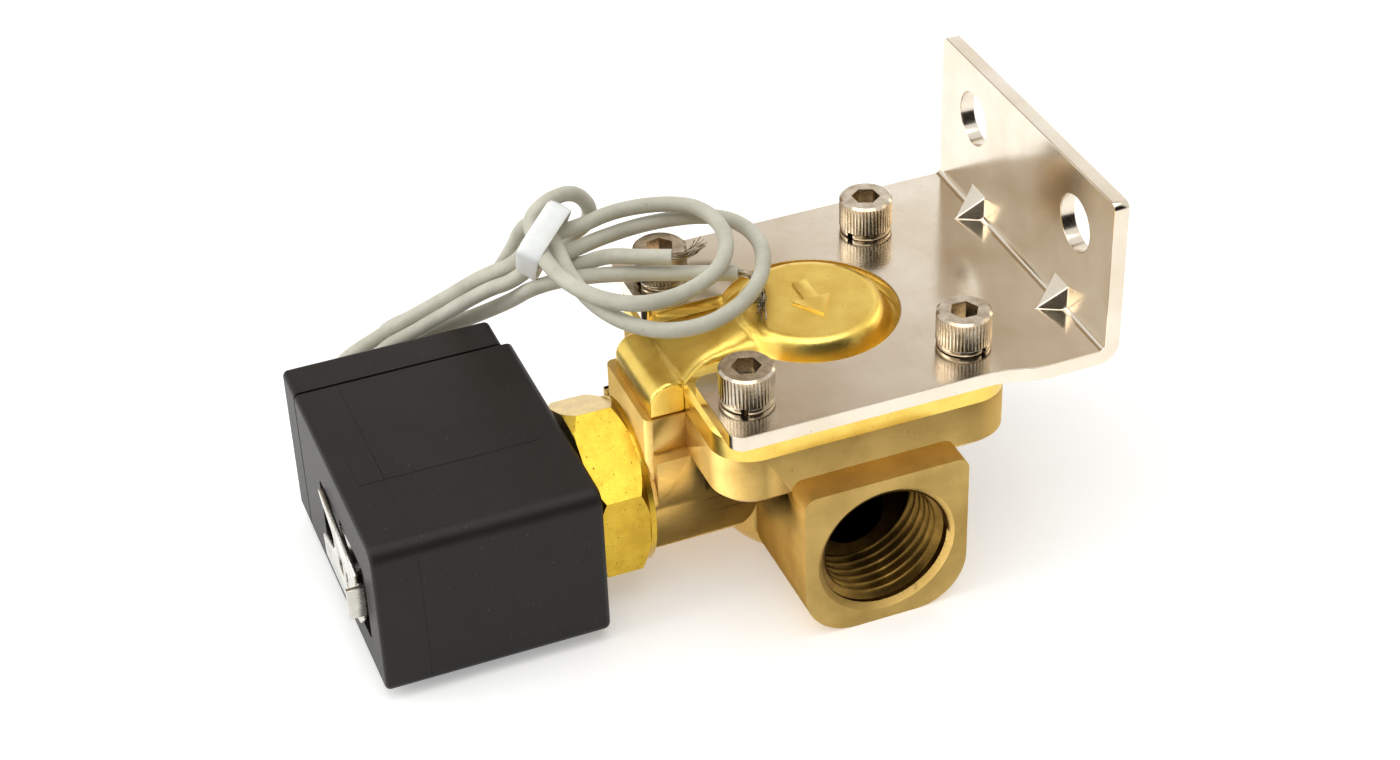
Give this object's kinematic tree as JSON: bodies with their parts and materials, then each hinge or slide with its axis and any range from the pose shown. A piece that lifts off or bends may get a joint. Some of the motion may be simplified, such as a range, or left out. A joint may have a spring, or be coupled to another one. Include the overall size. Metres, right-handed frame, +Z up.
{
  "type": "electric air valve",
  "caption": "Pilot-operated solenoid air valve: brass body with threaded in-line ports, moulded coil on a horizontal plunger tube, angle mounting bracket and tied wire leads.",
  "frame": {"origin": "centre of the outlet port's mouth, on the port axis", "axes": "+Y into the body along the port axis, towards the inlet; +Z up, square to the bonnet; +X from the coil towards the bracket's upright flange"},
  "size_m": [0.1188, 0.0853, 0.065],
  "materials": {
    "forged_brass": "forged and bright-dipped, machined faces",
    "turned_brass": "turned and milled",
    "plated_steel": "bright nickel plate on pressed steel",
    "plated_screw": "bright nickel plate",
    "turned_steel": "turned",
    "spring_steel": "bright drawn or rolled",
    "copper_wire": "enamelled copper",
    "black_rubber": "moulded",
    "black_moulding": "fine matt texture",
    "bobbin_nylon": "moulded",
    "lead_jacket": "extruded, slightly soft",
    "tinned_copper": "fine bare strands",
    "tie_tape": "smooth white"
  },
  "bodies": {
    "valve": {"valve_body": "forged_brass", "bonnet": "forged_brass", "mounting_bracket": "plated_steel", "bonnet_screws": "plated_screw", "spring_washers": "plated_screw", "main_diaphragm": "black_rubber", "main_spring": "spring_steel", "passage_seal": "black_rubber", "pilot_seat": "turned_steel", "tube_nut": "turned_brass", "core_tube": "turned_steel", "tube_seal": "black_rubber", "fixed_core": "turned_steel", "shading_ring": "copper_wire", "armature_spring": "spring_steel", "coil_housing": "black_moulding", "coil_lid": "black_moulding", "lead_grommets": "black_rubber", "coil_bobbin": "bobbin_nylon", "coil_winding": "copper_wire", "magnet_yoke": "turned_steel", "terminal_board": "bobbin_nylon", "lead_tails": "lead_jacket", "retaining_clip": "spring_steel", "lead_a": "lead_jacket", "lead_b": "lead_jacket", "lead_a_strands": "tinned_copper", "lead_b_strands": "tinned_copper", "wire_tie": "tie_tape"},
    "main_valve": {"diaphragm_retainer": "turned_steel", "seat_disc": "black_rubber"},
    "armature": {"armature": "turned_steel", "armature_seal": "black_rubber"}
  },
  "joints": [
    {"name": "main_valve_lift", "type": "slide", "parent": "valve", "child": "main_valve", "axis": [0, 0, 1], "range_m": [0, 0.003], "stiffness_N_per_m": 200, "springref_m": -0.005, "deforming": ["main_diaphragm", "main_spring"]},
    {"name": "armature_slide", "type": "slide", "parent": "valve", "child": "armature", "axis": [-1, 0, 0], "range_m": [0, 0.0012], "stiffness_N_per_m": 150, "springref_m": -0.006, "deforming": ["armature_spring"]}
  ]
}
